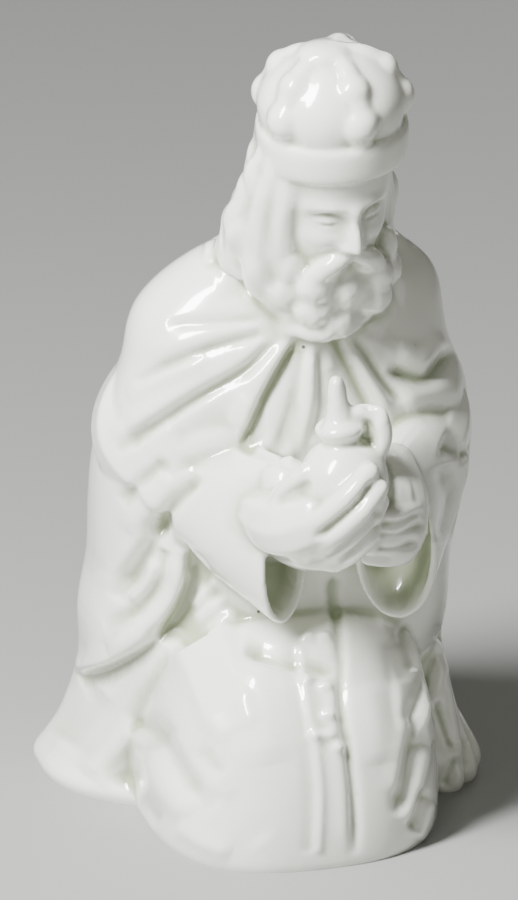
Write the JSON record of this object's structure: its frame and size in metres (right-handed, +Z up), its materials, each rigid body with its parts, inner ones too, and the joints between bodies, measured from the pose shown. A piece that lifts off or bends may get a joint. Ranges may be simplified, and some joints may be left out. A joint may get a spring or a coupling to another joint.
{
  "type": "nativity wise man figurine",
  "caption": "Kneeling bearded wise man in a long mantle and crown, holding a flask in both hands, cast in one piece of white glazed porcelain.",
  "frame": {"origin": "on the ground, under the middle of the figurine's box", "axes": "+Z up; the knees and the face are towards -Y, the figure's right hand at -X"},
  "size_m": [0.0742, 0.0888, 0.1375],
  "materials": {
    "glazed_porcelain": "glossy clear glaze over white porcelain, unglazed on the foot rim and the recessed underside"
  },
  "bodies": {
    "root": {"wise_man_figurine": "glazed_porcelain"}
  },
  "joints": []
}
